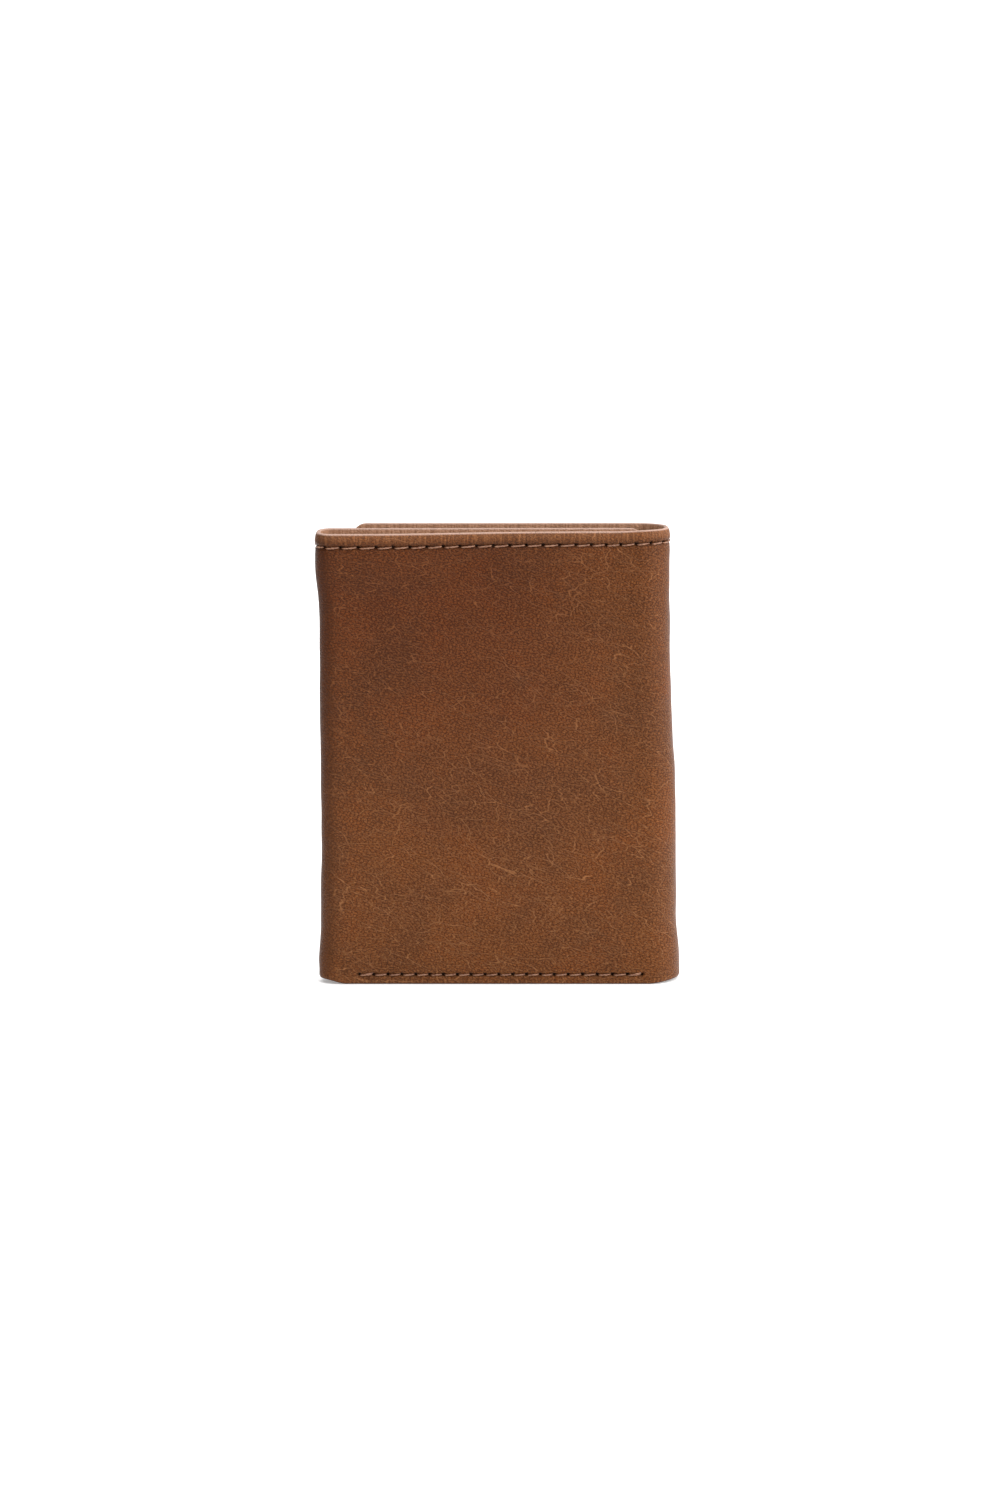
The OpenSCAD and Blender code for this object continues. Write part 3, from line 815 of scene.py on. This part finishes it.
def cover_columns():
    """Columns every half millimetre or so, with three across each stitch hole."""
    plain = columns(0.55)
    holes = TOP_ROW[0] + TOP_STEP * np.arange(TOP_COUNT + 1)
    sharp = [h + k for h in holes for k in (-0.24, 0, 0.24)]
    for start, stop in LOW_ROWS:
        n = round((stop - start) / SEAM_PITCH)
        sharp += [start + (stop - start) / n * i + k for i in range(n + 1) for k in (-0.24, 0, 0.24)]
    sharp = np.array(sorted(sharp))
    fixed = np.array([*BREAKS, U_RIGHT, U_FRONT, U_LEFT])
    gap = np.abs(plain[:, None] - sharp[None, :]).min(1)
    keep = (gap > 0.13) | np.isin(plain, fixed)
    sharp = sharp[np.abs(sharp[:, None] - fixed[None, :]).min(1) > 0.02]
    return np.unique(np.concatenate([plain[keep], sharp]))


def standing_for(pieces, slot, **nodes):
    """Hides the CAD nodes that the four pieces of a layer stand for. slot, the finish they take, is not used.
    """
    for part, piece in pieces.items():
        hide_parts(*nodes[part])


cover = skin("cover", 0, HEM_D, 0, H, cover_leather, u=cover_columns(), relief=cover_relief,
             inner_depth=hem_depth, step=0.5, fine=(TOP_SEAM_Z, LOW_SEAM_Z),
             inner_fine=(1, SIDE_HEM, H - TOP_HEM, H - 1), corners=(END_CORNER,) * 4,
             rim=(RIM_IN - RIM_OUT) / 2)
standing_for(cover, "cover_leather", outer=["cover_outer_flap"], right=["cover_right_fold"],
             left=["cover_front", "cover_left_fold"], inner=["cover_inner_flap"])

# ---------------------------------------------------------------- banknote compartment

lining_u = columns(1.5, SIDE_HEM + 0.1, U_END - SIDE_HEM - 0.1)
lining_z = np.linspace(SIDE_HEM + 0.3, H - TOP_HEM - 0.3, 40)
linings = {}
for part, (start, stop, *_) in BLENDS.items():
    cloth_u = lining_u[(lining_u >= start - 1e-6) & (lining_u <= stop + 1e-6)]
    uz = np.stack(np.meshgrid(cloth_u, lining_z, indexing="ij"), -1).reshape(-1, 2)
    faces = grid_faces(len(cloth_u), len(lining_z))
    cloth = make(f"lining_{part}", place(*uz.T, LINING_D + LINING_T / 2), faces, lining, uz)
    bend(cloth, part)
    linings[part] = cloth
standing_for(linings, "lining_fabric", outer=["lining_outer_flap"], right=["lining_right_fold"],
             left=["lining_front", "lining_left_fold"], inner=["lining_inner_flap"])

WALL_INSET = 0.6  # from the cover's ends
walls = skin("bill_wall", WALL_D, WALL_D + WALL_T, WALL_BOTTOM, WALL_TOP, inner_leather, first=WALL_INSET,
             last=U_END - WALL_INSET, step=1.2, corners=(END_CORNER - WALL_INSET,) * 4)
standing_for(walls, "inner_leather", outer=["bill_wall_outer_flap"], right=["bill_wall_right_fold"],
             left=["bill_wall_front", "bill_wall_left_fold"], inner=["bill_wall_inner_flap"])

# ---------------------------------------------------------------- card pockets

PANELS = {"front": ("front_panel", FRONT_Y, u_front), "inner": ("inner_flap", INNER_Y, u_inner)}
PRESSED_AT = 2.2  # how far under a pocket's mouth its pressed line runs


def pressed(depth, mouth):
    """Depth of a pocket's visible face, with a line pressed into it just under its mouth."""
    return lambda u, z: depth - 0.16 * dip(z - mouth + PRESSED_AT, 0.35)


def pocket(name, node, body, u_of, face_y):
    """A leather pocket on a panel, with its mouth at the top."""
    lo, hi = cad(node)
    ends = sorted((u_of(lo[0]), u_of(hi[0])))
    d0, d1 = sorted((abs(lo[1] - face_y), abs(hi[1] - face_y)))
    piece = slab(name, body, *ends, lo[2], hi[2], d0, d1, inner_leather, step=1.2,
                 corners=(0.5, 1.2, 0.5, 1.2), inner_depth=pressed(d1, hi[2]),
                 inner_fine=(hi[2] - PRESSED_AT,))
    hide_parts(node)


for panel, where in PANELS.items():
    for level in ("rear", "centre", "fore"):
        body, face_y, u_of = where
        pocket(f"{panel}_pocket_leather_{level}", f"{panel}_card_pocket_{level}", body, u_of, face_y)
pocket("slip_pocket_leather", "slip_pocket", "outer_flap", u_outer, OUTER_Y)

# ---------------------------------------------------------------- identity card window

frame_lo, frame_hi = cad("id_window_frame")
pane_lo, pane_hi = cad("id_window_pane")
seam_lo, seam_hi = cad("id_window_stitching")
WINDOW_GAP = SEAM_INSET + 0.3  # from the window's edge to the far side of its stitches
WINDOW_X0, WINDOW_X1 = seam_lo[0] + WINDOW_GAP, seam_hi[0] - WINDOW_GAP
WINDOW_Z0, WINDOW_Z1 = seam_lo[2] + WINDOW_GAP, seam_hi[2] - WINDOW_GAP
NOTCH_R = 6.0


def rounded(x0, x1, z0, z1, r, each=9):
    """Points round a rectangle with rounded corners, anticlockwise from its lower right corner."""
    out = []
    corners = ((x1 - r, z0 + r, -90), (x1 - r, z1 - r, 0), (x0 + r, z1 - r, 90), (x0 + r, z0 + r, 180))
    for cx, cz, a in corners:
        turn = np.radians(a + np.linspace(0, 90, each))
        out.append(np.stack([cx + r * np.cos(turn), cz + r * np.sin(turn)], -1))
    return np.concatenate(out)


def reach(loop, angles):
    """How far rays at those angles go from the origin before they cross a closed loop."""
    turn = lambda a, b: a[..., 0] * b[..., 1] - a[..., 1] * b[..., 0]
    side = np.roll(loop, -1, 0) - loop
    ray = np.stack([np.cos(angles), np.sin(angles)], -1)[:, None]
    with np.errstate(divide="ignore", invalid="ignore"):
        share, length = turn(ray, loop) / turn(side, ray), turn(loop, side) / turn(ray, side)
    return np.where((share > -1e-6) & (share < 1 + 1e-6) & (length > 0), length, 1e6).min(1)


def window_frame():
    """The leather frame over the pane, with a rounded window and a thumb notch in its top edge."""
    centre = np.array([(WINDOW_X0 + WINDOW_X1) / 2, (WINDOW_Z0 + WINDOW_Z1) / 2])
    window = rounded(WINDOW_X0, WINDOW_X1, WINDOW_Z0, WINDOW_Z1, 3.0) - centre
    rim = rounded(frame_lo[0], frame_hi[0], frame_lo[2], frame_hi[2], 1.0) - centre
    dent = np.radians(np.linspace(0, -180, 25))
    dent = np.stack([NOTCH_R * np.cos(dent), frame_hi[2] - centre[1] + NOTCH_R * np.sin(dent)], -1)
    rim = np.concatenate([rim[:18], dent, rim[18:]])
    angles = np.concatenate([np.arctan2(loop[:, 1], loop[:, 0]) for loop in (window, rim)])
    angles = np.unique(np.round(np.concatenate([angles, np.linspace(-math.pi, math.pi, 90)[1:]]), 5))
    r_in, r_out = reach(window, angles), reach(rim, angles)
    d0, d1 = OUTER_Y - frame_hi[1], OUTER_Y - frame_lo[1]
    half, mid = (d1 - d0) / 2, (d0 + d1) / 2
    roll = np.linspace(-math.pi / 2, math.pi / 2, 9)
    across = np.array([1.0, 1.5, 1.8, 2.05, 2.3, 2.55, 2.8, 3.1, 3.6])  # from the window's edge
    rows = [(r_in + half * (1 - math.cos(a)), mid - half * math.sin(a)) for a in roll]
    rows += [(r_out - half * (1 - math.cos(a)), mid + half * math.sin(a)) for a in roll]
    rows += [(r_out - half - (r_out - r_in - half - 3.6) * t, d1) for t in (0.15, 0.5, 0.8)]
    rows += [(r_in + a, d1 - 0.14 * dip(a - SEAM_INSET, 0.4)) for a in across[::-1]]
    ray = np.stack([np.cos(angles), np.sin(angles)], -1)
    uzd = []
    for r, d in rows:
        xz = centre + ray * r[:, None]
        uzd.append(np.concatenate([u_outer(xz[:, :1]), xz[:, 1:], np.full((len(xz), 1), d)], -1))
    uzd = np.array(uzd)
    faces = grid_faces(uzd.shape[1] + 1, uzd.shape[0], wrap=True)
    # the ring closes on itself both ways round
    uzd = np.swapaxes(uzd, 0, 1)
    faces %= uzd.shape[0] * uzd.shape[1]
    uzd = uzd.reshape(-1, 3)
    return make("id_frame_leather", place(*uzd.T), faces, inner_leather, uzd[:, :2])


id_frame = window_frame()
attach(id_frame, "outer_flap")
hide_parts("id_window_frame")

pane = slab("id_pane_film", "outer_flap", u_outer(pane_lo[0]), u_outer(pane_hi[0]), pane_lo[2], pane_hi[2],
            OUTER_Y - pane_hi[1] + 0.05, OUTER_Y - pane_lo[1] - 0.04, film, step=3.0, corners=(1, 1, 1, 1))
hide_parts("id_window_pane")

# ---------------------------------------------------------------- stitching

top_runs = split_runs(row(*TOP_ROW, TOP_SEAM_Z, TOP_PITCH, 0.2))
hem_runs = split_runs(row(*TOP_ROW, TOP_SEAM_Z, TOP_PITCH, HEM_D, side=-1, lift=0.05))
TOP_NODES = {"outer": ["outer_top_stitching"], "right": ["right_fold_top_stitching"],
             "left": ["front_top_stitching", "left_fold_top_stitching"], "inner": ["inner_top_stitching"]}
for part, nodes in TOP_NODES.items():
    seam = stitches(f"top_seam_{part}", top_runs[part] + hem_runs[part], thread)
    bend(seam, part)
    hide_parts(*nodes)

STACK_D = cad("front_card_pocket_fore")[1][1] - FRONT_Y
FRAME_D = OUTER_Y - cad("id_window_frame")[0][1]
for k, (body, name, inner_d) in enumerate((("outer_flap", "outer_bottom_stitching", FRAME_D),
                                          ("front_panel", "front_bottom_stitching", STACK_D),
                                          ("inner_flap", "inner_bottom_stitching", STACK_D))):
    start, stop = LOW_ROWS[k]
    # A second stitch is sewn over the first at each end
    tacks = [((start + 0.1, LOW_SEAM_Z + 0.5), (start + SEAM_PITCH, LOW_SEAM_Z - 0.25), 0.2, 0.16, 1),
             ((stop - SEAM_PITCH, LOW_SEAM_Z + 0.45), (stop - 0.1, LOW_SEAM_Z - 0.2), 0.2, 0.16, 1)]
    seam = stitches(name.replace("stitching", "seam"), row(start, stop, LOW_SEAM_Z, SEAM_PITCH, 0.16) + tacks
                    + row(start, stop, LOW_SEAM_Z, SEAM_PITCH, inner_d, side=-1), thread)
    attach(seam, body)
    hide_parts(name)

for body, name, at in (("outer_flap", "outer_end_stitching", END_COLUMNS[0]),
                       ("inner_flap", "inner_end_stitching", END_COLUMNS[1])):
    z0, z1 = LOW_SEAM_Z + 1.5, TOP_SEAM_Z - 1.5
    seam = stitches(name.replace("stitching", "seam"), column(at, z0, z1, SEAM_PITCH, 0.16)
                    + column(at, z0, z1, SEAM_PITCH, HEM_D, side=-1), thread)
    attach(seam, body)
    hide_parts(name)

for panel, (body, face_y, u_of) in PANELS.items():
    lo, hi = cad(f"{panel}_pocket_stitching")
    runs = [r for x in (lo[0] + 0.3, hi[0] - 0.3)
            for r in column(u_of(x), lo[2], hi[2], SEAM_PITCH, STACK_D, side=-1)]
    seam = stitches(f"{panel}_pocket_seam", runs, thread)
    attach(seam, body)
    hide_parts(f"{panel}_pocket_stitching")

w0, w1 = u_outer(WINDOW_X0), u_outer(WINDOW_X1)
runs = [r for z in (WINDOW_Z0 - SEAM_INSET, WINDOW_Z1 + SEAM_INSET)
        for r in row(w0, w1, z, SEAM_PITCH, FRAME_D, side=-1)]
runs += [r for u in (w0 - SEAM_INSET, w1 + SEAM_INSET)
         for r in column(u, WINDOW_Z0, WINDOW_Z1, SEAM_PITCH, FRAME_D, side=-1)]
seam = stitches("id_window_seam", runs, thread)
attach(seam, "outer_flap")
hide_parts("id_window_stitching")

# ---------------------------------------------------------------- stiffeners

for panel, (body, face_y, u_of) in {"outer_flap": ("outer_flap", OUTER_Y, u_outer), "front": PANELS["front"],
                                    "inner_flap": PANELS["inner"]}.items():
    lo, hi = cad(f"stiffener_{panel}")
    ends = sorted((u_of(lo[0]), u_of(hi[0])))
    depth = sorted((abs(lo[1] - face_y), abs(hi[1] - face_y)))
    piece = slab(f"board_{panel}", body, *ends, lo[2], hi[2], *depth, board, step=3.0, corners=(1, 1, 1, 1))
    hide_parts(f"stiffener_{panel}")

# ---------------------------------------------------------------- floor

floor_material = bpy.data.materials.new("studio_floor")
floor_material.use_nodes = True
# It is lit a little from below, like a light table
for socket, value in (("Base Color", (0.95, 0.95, 0.95, 1)), ("Roughness", 0.7),
                      ("Emission Color", (1, 1, 1, 1)), ("Emission Strength", 0.3)):
    floor_material.node_tree.nodes["Principled BSDF"].inputs[socket].default_value = value
floor = bpy.data.meshes.new("floor")
FLOOR = 40  # metres from its middle to each side
corners = [(x * FLOOR, y * FLOOR, 0) for x, y in ((-1, -1), (1, -1), (1, 1), (-1, 1))]
floor.from_pydata(corners, [], [(0, 1, 2, 3)])
floor.materials.append(floor_material)
floor = bpy.data.objects.new("floor", floor)
bpy.context.scene.collection.objects.link(floor)
